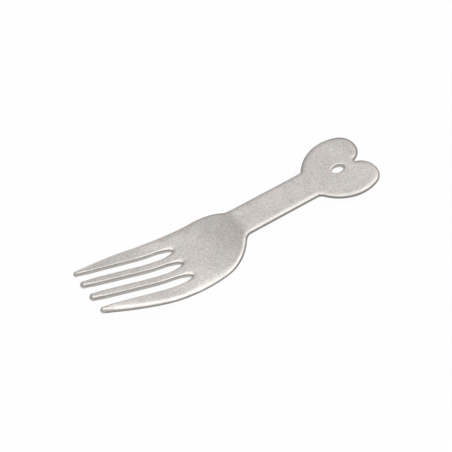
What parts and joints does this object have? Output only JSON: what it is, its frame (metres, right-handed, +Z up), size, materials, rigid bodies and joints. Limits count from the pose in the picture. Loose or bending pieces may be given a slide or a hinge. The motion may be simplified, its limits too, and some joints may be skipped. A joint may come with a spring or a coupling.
{
  "type": "table fork",
  "caption": "Short one-piece metal fork pressed from sheet: straight slim tines, shallow bowl with a bent neck, flat handle and a bone-shaped end with an oval hanging hole.",
  "frame": {"origin": "centre of the bounding box in plan, on the table the fork lies on", "axes": "+X along the fork towards the bone-shaped handle end, tines at -X; +Y across; +Z up, with the fork resting on its bowl and its bone end"},
  "size_m": [0.1104, 0.0246, 0.0199],
  "materials": {
    "titanium": "fine-grained matte titanium with softly polished, rounded edges"
  },
  "bodies": {
    "root": {"handle": "titanium", "head": "titanium"}
  },
  "joints": []
}
